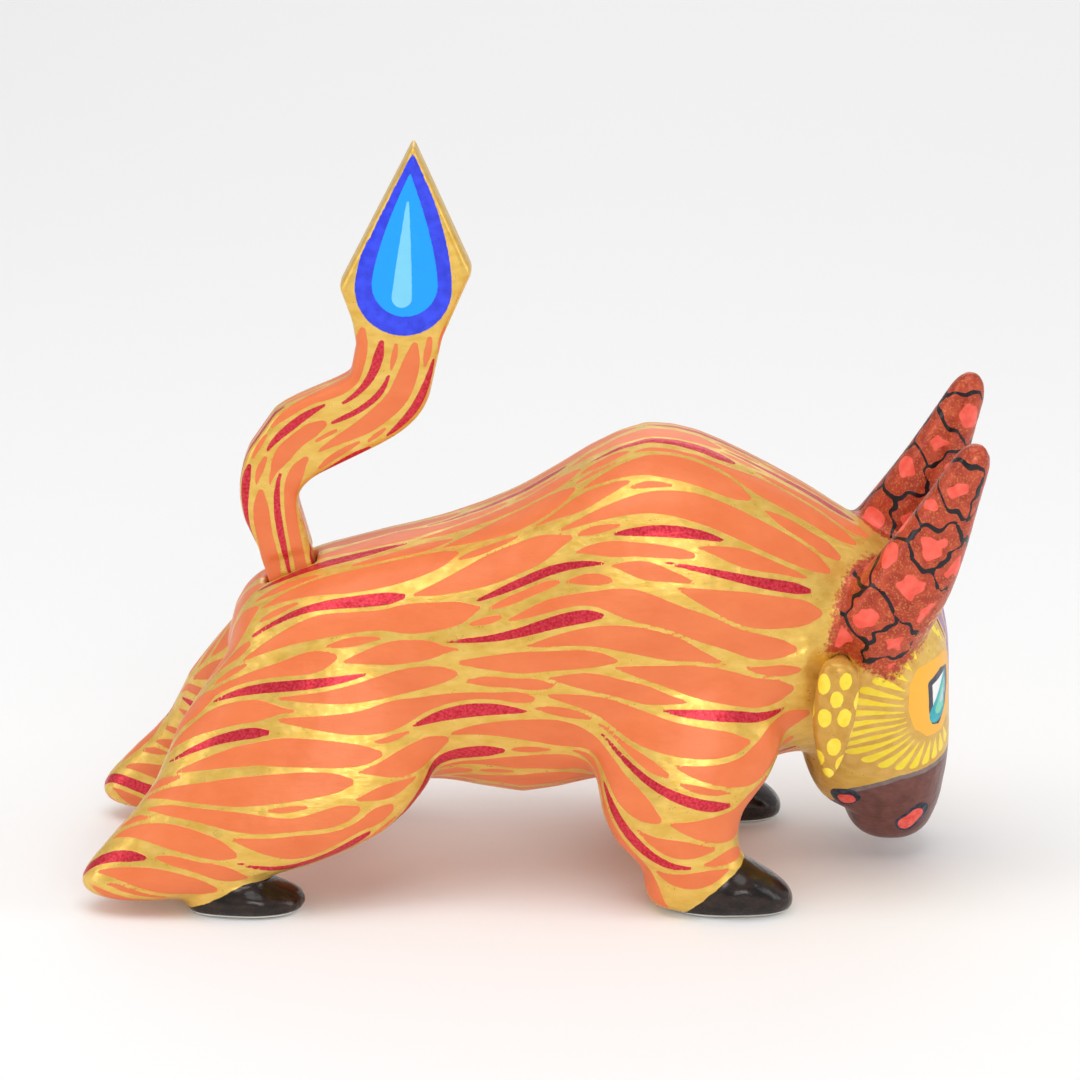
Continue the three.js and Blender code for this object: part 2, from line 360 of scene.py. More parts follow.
def horn_off(obj, name, side):
    """Takes one horn's upper part off a skin."""
    seat = HORN[side]

    def reach(middles):
        local = seat.local(middles)
        return (np.hypot(local[:, 0], local[:, 1]) < HORN_RADIUS) & (np.abs(local[:, 2] - 12) < 8)

    normal = seat.axis((0, HORN_CUT_SLOPE * side, 1))
    return taken_off(obj, name, seat.out((0, 0, HORN_CUT)), normal, reach, seat.out((0, 0, HORN_TIP)))


def head_off(obj, name):
    """Takes the head off a skin at the neck, and leaves the front hooves, which cross the same plane."""
    def reach(middles):
        near = np.abs(NECK.local(middles)[:, 0]) < 2
        return near & (CARVING_SEAT.local(middles)[:, 2] > TOE_TOP)

    return taken_off(obj, name, NECK.place, NECK.axis((1, 0, 0)), reach, HEAD.out((25, 0, -30)))


def give(obj, name, values):
    """Stores one number a point, for the paint's shader to read."""
    layer = obj.data.attributes.get(name) or obj.data.attributes.new(name, "FLOAT", "POINT")
    layer.data.foreach_set("value", np.ascontiguousarray(values, dtype=np.float32))


# ---- brush strokes -------------------------------------------------------------------------------

class Canvas:
    """A skin to paint: its points, the way that strokes flow, and the room left for them."""

    STEP = 0.5 * MM  # between the round dabs that make up a stroke
    CELL = 7 * MM
    SLENDER = 7.5  # no stroke's half width is more than its length divided by this
    FINEST = 0.28 * MM  # the thinnest half width that is painted
    SPARE = 0.12 * MM
    TRIES = 30000
    EASE = 11  # an odd number of dabs that a stroke's width is evened out over

    def __init__(self, obj, flow, room, seed):
        self.points = points_of(obj.data)
        self.flow = flow
        self.clearance = room.copy()
        self.dice = random.Random(seed)
        depsgraph = bpy.context.evaluated_depsgraph_get()
        self.surface = BVHTree.FromObject(obj, depsgraph)
        self.nearest = KDTree(len(self.points))
        for index, point in enumerate(self.points):
            self.nearest.insert(point, index)
        self.nearest.balance()
        self.cells = {}
        keys = np.floor(self.points / self.CELL).astype(int)
        order = np.lexsort(keys.T)
        breaks = np.nonzero(np.any(np.diff(keys[order], axis=0), axis=1))[0] + 1
        for group in np.split(order, breaks):
            self.cells[tuple(keys[group[0]])] = group

    def free_at(self, point):
        """The room at a place, from the three nearest points of the skin."""
        found = self.nearest.find_n(point, 3)
        weights = [1 / (away + 0.02 * MM) for _, _, away in found]
        total = sum(weight * self.clearance[index] for weight, (_, index, _) in zip(weights, found))
        return total / sum(weights)

    def around(self, path):
        """The skin's points in and next to the cells that a path crosses."""
        keys = set(map(tuple, np.floor(np.array(path) / self.CELL).astype(int)))
        near = (-1, 0, 1)
        wanted = {(x + i, y + j, z + k) for x, y, z in keys for i in near for j in near for k in near}
        found = [self.cells[key] for key in sorted(wanted) if key in self.cells]
        return np.concatenate(found)

    def trace(self, start, steps, way, least):
        """Follows the flow from a point while there is room."""
        path = []
        point = start
        _, normal, _, _ = self.surface.find_nearest(point)
        for _ in range(steps):
            ahead = point + self.flow(point, normal) * (self.STEP * way)
            point, normal, _, _ = self.surface.find_nearest(ahead)
            if self.free_at(point) < least:
                break
            path.append(point)
        return path

    def lay(self, path, radii, layer):
        """Adds a stroke to a layer, and takes its room away."""
        near = self.around(path)
        gap = np.full(len(near), 1.0)
        points = self.points[near]
        for point, radius in zip(path, radii):
            np.minimum(gap, np.linalg.norm(points - point, axis=1) - radius, out=gap)
        layer[near] = np.minimum(layer[near], gap)
        self.clearance[near] = np.minimum(self.clearance[near], gap)

    def stroke(self, start, length, width, gap, shape, layer, least_width, fullness):
        """One brush stroke through a point, as long and wide as its neighbours let it be."""
        least = gap + self.SPARE
        ahead = int(length / self.STEP * self.dice.uniform(0.35, 0.65))
        behind = int(length / self.STEP) - ahead
        front = self.trace(start, ahead, 1, least)
        back = self.trace(start, behind, -1, least)
        path = np.array(back[::-1] + [start] + front)
        long = len(path) * self.STEP
        if long < fullness * length:
            return False
        width = min(width, long / self.SLENDER)
        along = np.linspace(0, 1, len(path))
        radii = np.minimum(width * shape(along), [self.free_at(point) - gap for point in path])
        padded = np.pad(radii, self.EASE // 2, mode="edge")
        even = np.convolve(padded, np.ones(self.EASE) / self.EASE, mode="valid")
        radii = np.minimum(even, radii + 0.2 * MM)
        if np.mean(radii) < least_width:
            return False
        full = radii > self.FINEST
        self.lay(path[full], radii[full], layer)
        return True

    def fill(self, layer, length, width, gap, shape, least_width, apart=0.0, fullness=0.4, snug=0.0):
        """Paints strokes at random places until the tries run out.

        Lengths, half widths and gaps are in metres. A stroke is left out when less than the share
        of its length called fullness finds room. With snug, strokes after the first start close
        to paint that is already there.
        """
        laid = []
        for index in self.dice.sample(range(len(self.points)), min(self.TRIES, len(self.points))):
            width_now = self.dice.uniform(*width)
            if self.clearance[index] < gap + 0.55 * width_now:
                continue
            if snug and laid and self.clearance[index] > gap + snug * width_now:
                continue
            start = Vector(self.points[index])
            if apart and any((start - other).length < apart for other in laid):
                continue
            long = self.dice.uniform(*length)
            if self.stroke(start, long, width_now, gap, shape, layer, least_width, fullness):
                laid.append(start)


def leaf(along):
    """A long point behind and a rounder end in front."""
    return np.clip(along / 0.5, 0, 1) ** 0.85 * np.sqrt(np.clip(1 - along ** 7, 0, 1))


def comet(along):
    """A long thin point behind a round head."""
    return np.clip(along, 0, 1) ** 0.9 * np.sqrt(np.clip(1 - along ** 14, 0, 1))


def spindle(along):
    """Pointed at both ends."""
    return np.sin(np.pi * np.clip(along, 0, 1)) ** 0.75


def paint_strokes(canvas, orange, red, scale=1.0, apart=28 * MM):
    """Red accents first, set apart, then orange from long strokes down to slips that fill the gaps."""
    s = scale * MM
    canvas.fill(red, (27 * s, 40 * s), (1.4 * s, 1.85 * s), 0.9 * s, comet, 0.6 * s, apart, 0.9)
    canvas.fill(red, (24 * s, 36 * s), (0.95 * s, 1.45 * s), 2.5 * s, spindle, 0.45 * s, apart, 0.9)
    canvas.fill(orange, (38 * s, 62 * s), (2.5 * s, 3.5 * s), 0.85 * s, leaf, 1.3 * s, 0, 0.62, 1.3)
    canvas.fill(orange, (24 * s, 48 * s), (2.1 * s, 3.2 * s), 0.8 * s, leaf, 1.0 * s, 0, 0.58)
    canvas.fill(orange, (14 * s, 34 * s), (1.4 * s, 2.4 * s), 0.7 * s, leaf, 0.6 * s, 0, 0.55)
    canvas.fill(orange, (10 * s, 20 * s), (0.8 * s, 1.6 * s), 0.7 * s, spindle, 0.4 * s, 0, 0.6)


# ---- the way the strokes flow over the body ------------------------------------------------------
# Heights of the back and the belly, and the slopes of the strokes, along the bull: (x, value).

BACK_LINE = ((-88, 12), (-80, 22), (-70, 38), (-60, 54), (-54, 62), (-30, 70), (-18, 73), (-7, 78), (5, 86),
             (13, 90), (21, 92), (31, 90), (40, 86), (52, 80), (62, 73))
BELLY_LINE = ((-88, 5), (-60, 4), (-50, 8), (-40, 12), (-30, 17), (-22, 26), (-10, 22), (0, 17), (10, 20),
              (14, 18), (18, 12), (22, 4), (40, 4), (42, 18), (46, 25), (52, 27), (60, 28))
BACK_SLOPE = ((-76, 0.0), (-66, 0.5), (-56, 0.6), (-48, 0.35), (-40, 0.2), (-25, 0.27), (-12, 0.42),
              (-1, 0.66), (9, 0.5), (17, 0.25), (26, -0.15), (35, -0.42), (46, -0.5), (57, -0.7))
FLANK_SLOPE = ((-80, -0.3), (-62, -0.12), (-30, 0.02), (-10, 0.08), (5, -0.08), (20, -0.3),
               (40, -0.33), (55, 0.0))
BELLY_SLOPE = ((-88, -0.5), (-75, -0.42), (-62, -0.3), (-50, -0.05), (-38, 0.3), (-28, 0.7), (-20, 0.55),
               (-10, -0.05), (0, -0.1), (8, -0.4), (14, -1.2), (20, -1.0), (27, -0.2), (33, 0.3), (40, 0.9),
               (47, 0.9), (54, 0.4), (60, 0.2))


def along_table(table, x):
    places, values = zip(*table)
    return float(np.interp(x, places, values))


def body_flow(point, normal):
    """Forward along the bull, between the slopes of its back, its flank and its underside."""
    x, y, z = (point - CARVING) / MM
    low = along_table(BELLY_LINE, x)
    high = along_table(BACK_LINE, x)
    rise = min(max((z - low) / (high - low), 0.0), 1.0)
    near_back = rise ** 2.5
    near_belly = (1 - rise) ** 2.5
    slope = near_back * along_table(BACK_SLOPE, x) + near_belly * along_table(BELLY_SLOPE, x)
    slope += (1 - near_back - near_belly) * along_table(FLANK_SLOPE, x)
    slope += 0.14 * math.sin(0.12 * x + 0.17 * z + 0.1 * y)
    way = Vector((1.0, 0.0, slope))
    return (way - normal * way.dot(normal)).normalized()


# ---- paint shaders -------------------------------------------------------------------------------

class Paint:
    """A node material built up in layers, each laid where a stored number says."""

    def __init__(self, name, metallic):
        self.material = bpy.data.materials.new(name)
        self.material.use_nodes = True
        self.tree = self.material.node_tree
        self.shader = self.tree.nodes["Principled BSDF"]
        self.colour = None
        self.roughness = None
        self.metallic = metallic
        self.relief = None
        self.place = self.tree.nodes.new("ShaderNodeTexCoord").outputs["Object"]

    def value_of(self, colour):
        if not isinstance(colour, tuple):
            return colour
        node = self.tree.nodes.new("ShaderNodeRGB")
        node.outputs[0].default_value = (*srgb(colour), 1)
        return node.outputs[0]

    def math(self, operation, a, b=0.0, c=0.0):
        node = self.tree.nodes.new("ShaderNodeMath")
        node.operation = operation
        for socket, value in zip(node.inputs, (a, b, c)):
            if isinstance(value, (int, float)):
                socket.default_value = value
            else:
                self.tree.links.new(value, socket)
        return node.outputs[0]

    def stored(self, name):
        node = self.tree.nodes.new("ShaderNodeAttribute")
        node.attribute_name = name
        return node.outputs["Fac"]

    def stretched(self, stretch):
        node = self.tree.nodes.new("ShaderNodeMapping")
        node.inputs["Scale"].default_value = stretch
        self.tree.links.new(self.place, node.inputs["Vector"])
        return node.outputs[0]

    def noise(self, size, detail=3.0, stretch=None, rough=0.55):
        """Soft noise with features of about this size in metres."""
        node = self.tree.nodes.new("ShaderNodeTexNoise")
        node.inputs["Scale"].default_value = 1 / size
        node.inputs["Detail"].default_value = detail
        node.inputs["Roughness"].default_value = rough
        source = self.stretched(stretch) if stretch else self.place
        self.tree.links.new(source, node.inputs["Vector"])
        return node.outputs["Fac"]

    def ramp(self, value, start, end, low=0.0, high=1.0):
        node = self.tree.nodes.new("ShaderNodeMapRange")
        node.interpolation_type = "SMOOTHSTEP"
        self.tree.links.new(value, node.inputs["Value"])
        for socket, number in (("From Min", start), ("From Max", end), ("To Min", low), ("To Max", high)):
            node.inputs[socket].default_value = number
        return node.outputs[0]

    def blend(self, factor, a, b):
        node = self.tree.nodes.new("ShaderNodeMix")
        node.data_type = "RGBA"
        self.tree.links.new(factor, node.inputs[0])
        self.tree.links.new(a, node.inputs[6])
        self.tree.links.new(b, node.inputs[7])
        return node.outputs[2]

    def mottled(self, dark, light, size, stretch=None, contrast=0.25):
        """A colour that varies between two, in patches of a size."""
        spread = self.ramp(self.noise(size, 4.0, stretch), 0.5 - contrast, 0.5 + contrast)
        return self.blend(spread, self.value_of(dark), self.value_of(light))

    def inside(self, name, edge=0.07, ragged=0.08, size=0.9 * MM):
        """1 inside the stored outline and 0 outside, with a slightly uneven brush edge."""
        wobble = self.math("MULTIPLY_ADD", self.noise(size, 2.0), ragged * 2, -ragged)
        distance = self.math("ADD", self.stored(name), wobble)
        return self.ramp(distance, edge, -edge)

    def layer(self, mask, colour, roughness, metallic, height=0.0):
        """Lays paint where the mask is 1."""
        self.colour = self.blend(mask, self.colour, self.value_of(colour))
        self.roughness = self.mixed(mask, self.roughness, roughness)
        self.metallic = self.mixed(mask, self.metallic, metallic)
        if height:
            self.raise_by(self.math("MULTIPLY", mask, height))

    def mixed(self, mask, a, b):
        """From a, which may be a number or a node's output, to the number b where the mask is 1."""
        if isinstance(a, (int, float)):
            return a if a == b else self.math("MULTIPLY_ADD", mask, b - a, a)
        return self.math("MULTIPLY_ADD", mask, self.math("SUBTRACT", b, a), a)

    def raise_by(self, height):
        self.relief = height if self.relief is None else self.math("ADD", self.relief, height)

    def finish(self, coat=0.12, coat_roughness=0.2, specular=0.32):
        """Wires the layers to the shader. Heights are in millimetres."""
        links = self.tree.links
        links.new(self.colour, self.shader.inputs["Base Color"])
        links.new(self.roughness, self.shader.inputs["Roughness"])
        if isinstance(self.metallic, (int, float)):
            self.shader.inputs["Metallic"].default_value = self.metallic
        else:
            links.new(self.metallic, self.shader.inputs["Metallic"])
        self.shader.inputs["Coat Weight"].default_value = coat
        self.shader.inputs["Coat Roughness"].default_value = coat_roughness
        self.shader.inputs["Specular IOR Level"].default_value = specular
        bump = self.tree.nodes.new("ShaderNodeBump")
        bump.inputs["Strength"].default_value = 1.0
        bump.inputs["Distance"].default_value = MM
        links.new(self.relief, bump.inputs["Height"])
        links.new(bump.outputs["Normal"], self.shader.inputs["Normal"])
        return self.material


def srgb(colour):
    """A colour given as 0 to 255 as it looks on a screen, in linear light."""
    parts = [channel / 255 for channel in colour]
    return tuple(c / 12.92 if c <= 0.04045 else ((c + 0.055) / 1.055) ** 2.4 for c in parts)


GOLD_DARK = (218, 170, 66)
GOLD_LIGHT = (240, 202, 108)


def gold_base(name):
    """Brushed metallic gold over gessoed wood, with its pores and brush ridges."""
    paint = Paint(name, 0.5)
    paint.colour = paint.mottled(GOLD_DARK, GOLD_LIGHT, 1.6 * MM, (0.4, 1.0, 1.0), 0.4)
    paint.roughness = paint.ramp(paint.noise(1.6 * MM), 0.3, 0.7, 0.27, 0.44)
    ridges = paint.noise(0.9 * MM, 3.0, (0.25, 1.0, 1.0))
    paint.raise_by(paint.math("MULTIPLY", ridges, 0.07))
    paint.raise_by(paint.math("MULTIPLY", paint.noise(6 * MM, 2.0), 0.35))
    return paint


def add_strokes(paint):
    """Satin orange strokes and glittering red ones."""
    streaks = paint.noise(0.8 * MM, 3.0, (0.3, 1.0, 1.0))
    orange = paint.mottled((228, 113, 60), (238, 129, 76), 5 * MM, (0.5, 1, 1), 0.4)
    paint.layer(paint.inside("orange"), orange, 0.42, 0.05, 0.045)
    red = paint.mottled((184, 14, 30), (226, 66, 84), 0.5 * MM, None, 0.25)
    paint.layer(paint.inside("red"), red, 0.33, 0.55, 0.06)
    paint.raise_by(paint.math("MULTIPLY", streaks, 0.035))


# ---- the pieces ----------------------------------------------------------------------------------

SKIN_VOXEL = 0.71 * MM
EAR_VOXEL = 0.5 * MM
TAIL_VOXEL = 0.45 * MM
FILL_ROUNDS = 70
OPEN = 30  # millimetres: so much room that nothing stops a stroke
FAR = 3.0  # millimetres outside every outline


def crease_weight(points):
    """All of the legs' and belly's creases, a little at the head, none at the tail's socket."""
    local = CARVING_SEAT.local(points)
    socket = np.linalg.norm(TAIL_FOOT.local(points), axis=1)
    ahead = np.clip((60 - local[:, 0]) / 8, 0.12, 1)
    return ahead * np.clip((socket - 13) / 6, 0, 1) * np.clip((local[:, 2] - 3) / 3, 0, 1)


def cover_nail(body):
    """Raises the skin by up to a millimetre over the edge of the nail's head, so that it doesn't show."""
    points = points_of(body.data)
    away = np.linalg.norm(points - np.array(CARVING_SEAT.out(NAIL_HEAD_EDGE)), axis=1)
    lift = 1.0 * MM * np.clip(1 - (away / (5.0 * MM)) ** 2, 0, 1) ** 2
    set_points(body.data, points + normals_of(body.data) * lift[:, None])


def carve_skins():
    """One smooth skin over body, head and horns, with the horns cut off again. The head follows."""
    sources = ["body_block", "head", "neck_dowel", "neck_nail", "horn_right", "horn_left"]
    body = joined_copy("painted_body", sources)
    remeshed(body, SKIN_VOXEL)
    biggest_shell(body)
    smoothed(body, 6)
    filled_creases(body, FILL_ROUNDS, crease_weight(points_of(body.data)))
    smoothed(body, 6)
    cover_nail(body)
    horns = {
        RIGHT: subdivided(horn_off(body, "painted_horn_right", RIGHT)),
        LEFT: subdivided(horn_off(body, "painted_horn_left", LEFT)),
    }
    return body, horns


def single_skin(name, node, voxel, rounds):
    """A smooth skin over one CAD node."""
    piece = joined_copy(name, [node])
    remeshed(piece, voxel)
    smoothed(piece, rounds)
    piece.data.shade_smooth()
    return piece


def hoof_gaps(points):
    """Millimetres outside the black of the nearest hoof; less than nothing inside it."""
    local = CARVING_SEAT.local(points)
    side = local[:, [0, 2]]
    hind = [(-73.0, -4), (-71.5, 2.0), (-64.5, 5.6), (-57.5, 9.2), (-50, 9.9), (-40, 9.6), (-40, -4)]
    front = [(26.0, -4), (28.0, 3.0), (34.5, 8.6), (39.4, 12.4), (41.5, 14.2), (46, 14), (56, 10), (56, -4)]
    return np.minimum(outline_gap(side, hind), outline_gap(side, front))


def empty_layer(points):
    return np.full(len(points), FAR * MM)


COLLAR_LINE = ((30, 51.5), (50, 52), (58, 56.5), (66, 61), (75, 67))  # height, and where the strokes end


def stroke_skin(body):
    """Paints the strokes on body and neck, while they are still one skin."""
    points = points_of(body.data)
    local = CARVING_SEAT.local(points)
    hooves = hoof_gaps(points)
    sole = local[:, 2] - 2.2
    heights, ends = zip(*COLLAR_LINE)
    collar = np.interp(local[:, 2], heights, ends) - local[:, 0]
    collar += 1.0 * np.sin(points[:, 2] / MM * 0.55) + 0.8 * np.sin(points[:, 1] / MM * 0.9)
    collar = np.where(local[:, 2] > TOE_TOP, collar, OPEN)
    sponge = np.empty(len(points))
    body.data.attributes["sponge"].data.foreach_get("value", sponge)
    room = np.minimum.reduce([hooves - 0.5, collar, sole - 0.8, sponge - 1.6]) * MM
    canvas = Canvas(body, body_flow, room, seed=11)
    orange = empty_layer(points)
    red = empty_layer(points)
    paint_strokes(canvas, orange, red)
    give(body, "orange", orange / MM)
    give(body, "red", red / MM)
    give(body, "hoof", hooves)
    give(body, "sole", sole)


def paint_body(body):
    """Strokes, glossy hooves, pale soles, and the horns' sponged edge where it runs onto the neck."""
    paint = gold_base("stroked_paint")
    add_strokes(paint)
    black = paint.mottled((14, 11, 12), (52, 36, 28), 1.6 * MM, (0.5, 1, 1))
    paint.layer(paint.inside("hoof", 0.08, 0.3, 2.5 * MM), black, 0.16, 0.0, 0.1)
    paint.layer(paint.ramp(paint.stored("sole"), 0.9, 0.6), (228, 226, 218), 0.7, 0.0)
    add_horn_paint(paint)
    body.data.materials.append(paint.finish())


# ---- outlines of painted marks: millimetres outside, less than nothing inside --------------------

def drop_gap(points, start, end, wide, narrow, taper=1.0):
    """A tapered stroke between two places, in as many dimensions as the points have."""
    start = np.array(start, dtype=float)
    way = np.array(end, dtype=float) - start
    share = np.clip((points - start) @ way / (way @ way), 0, 1)
    away = np.linalg.norm(points - start - share[:, None] * way, axis=1)
    return away - narrow - (wide - narrow) * (1 - share ** taper)


def outline_gap(points, corners, rounding=0.0):
    """A flat outline with corners, grown by a rounding."""
    gap = np.full(len(points), 1e3)
    inside = np.zeros(len(points), dtype=bool)
    for (ax, ay), (bx, by) in zip(corners, corners[1:] + corners[:1]):
        gap = np.minimum(gap, drop_gap(points, (ax, ay), (bx, by), 0, 0))
        crossed = (ay > points[:, 1]) != (by > points[:, 1])
        at = ax + (points[:, 1] - ay) * (bx - ax) / (by - ay if by != ay else 1)
        inside ^= crossed & (points[:, 0] < at)
    return np.where(inside, -gap, gap) - rounding


def nearest_marks(points, seeds):
    """Distance to the nearest seed and to the border with the next one's cell, and which two they are."""
    away = np.linalg.norm(points[:, None, :] - seeds[None, :, :], axis=2)
    order = np.argsort(away, axis=1)
    first = order[:, 0]
    second = order[:, 1]
    rows = np.arange(len(points))
    near = away[rows, first]
    far = away[rows, second]
    between = np.linalg.norm(seeds[first] - seeds[second], axis=1)
    return near, (far ** 2 - near ** 2) / (2 * between), first, second


def scattered(points, apart, dice):
    """Places among the points, none nearer to another than the given distance."""
    chosen = []
    for index in dice.sample(range(len(points)), min(len(points), 4000)):
        point = points[index]
        if all(np.linalg.norm(point - other) > apart for other in chosen):
            chosen.append(point)
    return np.array(chosen)


# ---- horns ---------------------------------------------------------------------------------------

HORN_PAINT_RADIUS = 9.9  # where the sponged red-brown ends round a horn, and below its foot
HORN_PAINT_DEPTH = 3
CRACK = 0.42  # half a crack's width
HORN_DOTS_APART = 7.0


def horn_marks(local, seeds):
    """Sponge, crackle and dots of one horn, for points in its own millimetres."""
    x, y, z = local.T
    sponge = np.maximum(np.hypot(x, y) - HORN_PAINT_RADIUS, -z - HORN_PAINT_DEPTH)
    warp = np.column_stack([
        np.sin(1.1 * z + 0.7 * y) + 0.6 * np.sin(2.3 * z + 1.0),
        np.sin(0.9 * z + 1.3 * x),
        np.sin(1.2 * x + 0.8 * y) + 0.6 * np.sin(2.1 * y + 1.9 * x),
    ])
    near, border, first, second = nearest_marks(local + 0.45 * warp, seeds)
    bare = (first * second + first + second) % 7 == 0  # about one crack in seven is left out
    crackle = np.abs(border) - CRACK - 0.14 * np.sin(0.9 * z + x)
    crackle = np.where(bare, FAR, crackle)
    crackle = np.maximum(crackle, sponge + 1.0)
    size = 2.0 + 0.5 * np.sin(seeds.sum(axis=1) * 5.0)
    dots = np.maximum(near - size[first], 0.5 - crackle)
    dots = np.maximum(dots, sponge + 1.4)
    return sponge, crackle, dots


def scatter_horn(side, body, horn, dice):
    local = HORN[side].local(np.vstack([points_of(horn.data), points_of(body.data)]))
    close = np.maximum(np.hypot(local[:, 0], local[:, 1]) - 10.5, -local[:, 2] - 2) < 0
    return scattered(local[close], HORN_DOTS_APART, dice)


def give_horn_marks(obj, sides, seeds):
    points = points_of(obj.data)
    found = [horn_marks(HORN[side].local(points), seeds[side]) for side in sides]
    sponge, crackle, dots = np.min(found, axis=0)
    give(obj, "sponge", sponge)
    give(obj, "crackle", crackle)
    give(obj, "dots", dots)


def add_horn_paint(paint):
    """Red-brown sponged over the gold, with coral dots in a net of black cracks."""
    dabs = paint.math("MULTIPLY_ADD", paint.noise(1.0 * MM, 5.0, None, 0.7), 6.0, -3.0)
    edge = paint.math("ADD", paint.stored("sponge"), dabs)
    brown = paint.mottled((158, 50, 34), (200, 82, 54), 2.2 * MM, None, 0.25)
    speck = paint.ramp(paint.noise(0.45 * MM, 3.0), 0.52, 0.68, 0.0, 0.65)
    brown = paint.blend(speck, brown, paint.value_of((216, 136, 70)))
    paint.layer(paint.ramp(edge, 0.8, -0.8), brown, 0.36, 0.25, 0.04)
    coral = paint.mottled((240, 84, 66), (255, 110, 92), 2.0 * MM)
    paint.layer(paint.inside("dots", 0.15, 0.2), coral, 0.4, 0.0, 0.05)
    paint.layer(paint.inside("crackle", 0.06, 0.12, 0.8 * MM), (24, 19, 22), 0.25, 0.0, 0.05)


# ---- head ----------------------------------------------------------------------------------------

EYE_MIDDLE = (16.7, 12.0, -4.7)
RAY_ANGLES = (-125, -90, -60, -30, 0, 30, 50, 62)  # in degrees, with how far out the rays run
RAY_STARTS = (9.4, 9.4, 9.2, 8.0, 8.2, 10.2, 12.8, 13.4)
RAY_ENDS = (13, 14, 16, 17.5, 17.5, 16, 17, 17)
RAYS = 19
RAY_TURN = 9.8


def face_chart(local):
    """Places across the cheek, flattened: away from the brow's ridge, and up, from the eye's middle."""
    x, y, z = EYE_MIDDLE
    across = -0.695 * (local[:, 0] - x) + 0.719 * (np.abs(local[:, 1]) - y)
    return np.column_stack([across, local[:, 2] - z])


def ray_gaps(chart):
    """Sun rays behind the eye: thin at the eye's patch, thick and round at their far ends."""
    gap = np.full(len(chart), FAR)
    for step in range(RAYS):
        angle = RAY_ANGLES[-1] - RAY_TURN * step
        near = np.interp(angle, RAY_ANGLES, RAY_STARTS)
        far = np.interp(angle, RAY_ANGLES, RAY_ENDS)
        way = np.array([math.cos(math.radians(angle)), math.sin(math.radians(angle))])
        gap = np.minimum(gap, drop_gap(chart, way * near, way * far, 0.12, 0.92))
    return gap


def muzzle_gaps(local):
    """Millimetres above the muzzle's brown."""
    line = np.interp(local[:, 0], (-6, -2.5, -1, 0.3, 9.8, 18.9), (-33, -30, -26, -25.1, -21.3, -20.3))
    return local[:, 2] - line


def give_face_marks(head):
    local = HEAD.local(points_of(head.data))
    chart = face_chart(local)
    mirrored = np.column_stack([local[:, 0], np.abs(local[:, 1]), local[:, 2]])
    front = mirrored[:, 1:]
    muzzle = muzzle_gaps(local)
    patch = [(6.4, 6.6), (5.9, 1.0), (4.0, -3.4), (1.0, -6.0), (-2.4, -6.4), (-5.0, -4.4), (-6.0, 0),
             (-5.8, 5), (-2.6, 7.6), (2.6, 8.2), (5.5, 8.2)]
    eye = [(2.7, 5.2), (-1.0, 6.0), (-3.9, 4.9), (-4.3, 1.0), (-3.2, -3.0), (-1.4, -5.4),
           (0.3, -4.6), (1.6, -1.2)]
    white = [(1.9, 4.4), (-3.0, 5.0), (-3.4, 0), (-2.0, -3.6), (0.2, -3.4), (1.0, -0.8)]
    ahead = local[:, 0] > 6
    rays = np.maximum(ray_gaps(chart), 1.0 - muzzle)
    rays = np.where(front[:, 0] > 3.2, rays, FAR)
    marks = {
        "patch": outline_gap(chart, patch, 2.0),
        "rays": rays,
        "eye": outline_gap(chart, eye, 0.9),
        "white": outline_gap(chart, white, 0.25),
        "iris": drop_gap(chart, (-0.8, -2.6), (-2.9, 5.0), 2.9, 0.4),
        "mint": drop_gap(chart, (-1.3, -2.1), (-2.9, 3.4), 1.6, 0.2),
        "glint": drop_gap(chart, (-2.1, -1.0), (-2.7, 1.2), 0.6, 0.25),
        "muzzle": muzzle,
        "nose_ring": drop_gap(mirrored, (11.9, 11.4, -34.2), (14.1, 11.0, -31.8), 2.55, 2.4),
        "nose": drop_gap(mirrored, (11.6, 11.5, -34.3), (13.5, 11.1, -32.3), 1.75, 1.6),
        "mouth_ring": drop_gap(mirrored, (-1.8, 11.5, -28.6), (0.3, 11.7, -27.4), 2.5, 2.1),
        "mouth": drop_gap(mirrored, (-1.2, 11.5, -29.0), (0.2, 11.6, -28.3), 1.4, 1.2),
        "purple": np.minimum.reduce([
            drop_gap(front, (1.6, 13.5), (0.9, -14), 1.5, 0.3),
            drop_gap(front, (6.4, 13.5), (3.2, 3.0), 1.4, 0.25),
            drop_gap(front, (4.4, 4.0), (2.2, -16), 0.9, 0.2),
        ]),
        "maroon": np.minimum.reduce([
            drop_gap(front, (4.1, 13.5), (2.6, -2), 0.35, 0.15),
            drop_gap(front, (8.4, 13.0), (5.4, 5.0), 0.35, 0.12),
            drop_gap(front, (0.0, 11.0), (0.0, -17), 0.4, 0.12),
        ]),
        "streak": np.minimum.reduce([
            drop_gap(front, (10.9, 12.0), (9.3, 8.4), 0.7, 0.15),
            drop_gap(front, (8.9, 9.4), (7.9, 6.6), 0.45, 0.12),
            drop_gap(front, (3.1, 10.0), (2.9, 5.0), 0.4, 0.12),
        ]),
    }
    for name in ("purple", "maroon", "streak"):
        marks[name] = np.where(ahead, np.maximum(marks[name], 0.9 - muzzle), FAR)
    for name, gap in marks.items():
        give(head, name, gap)


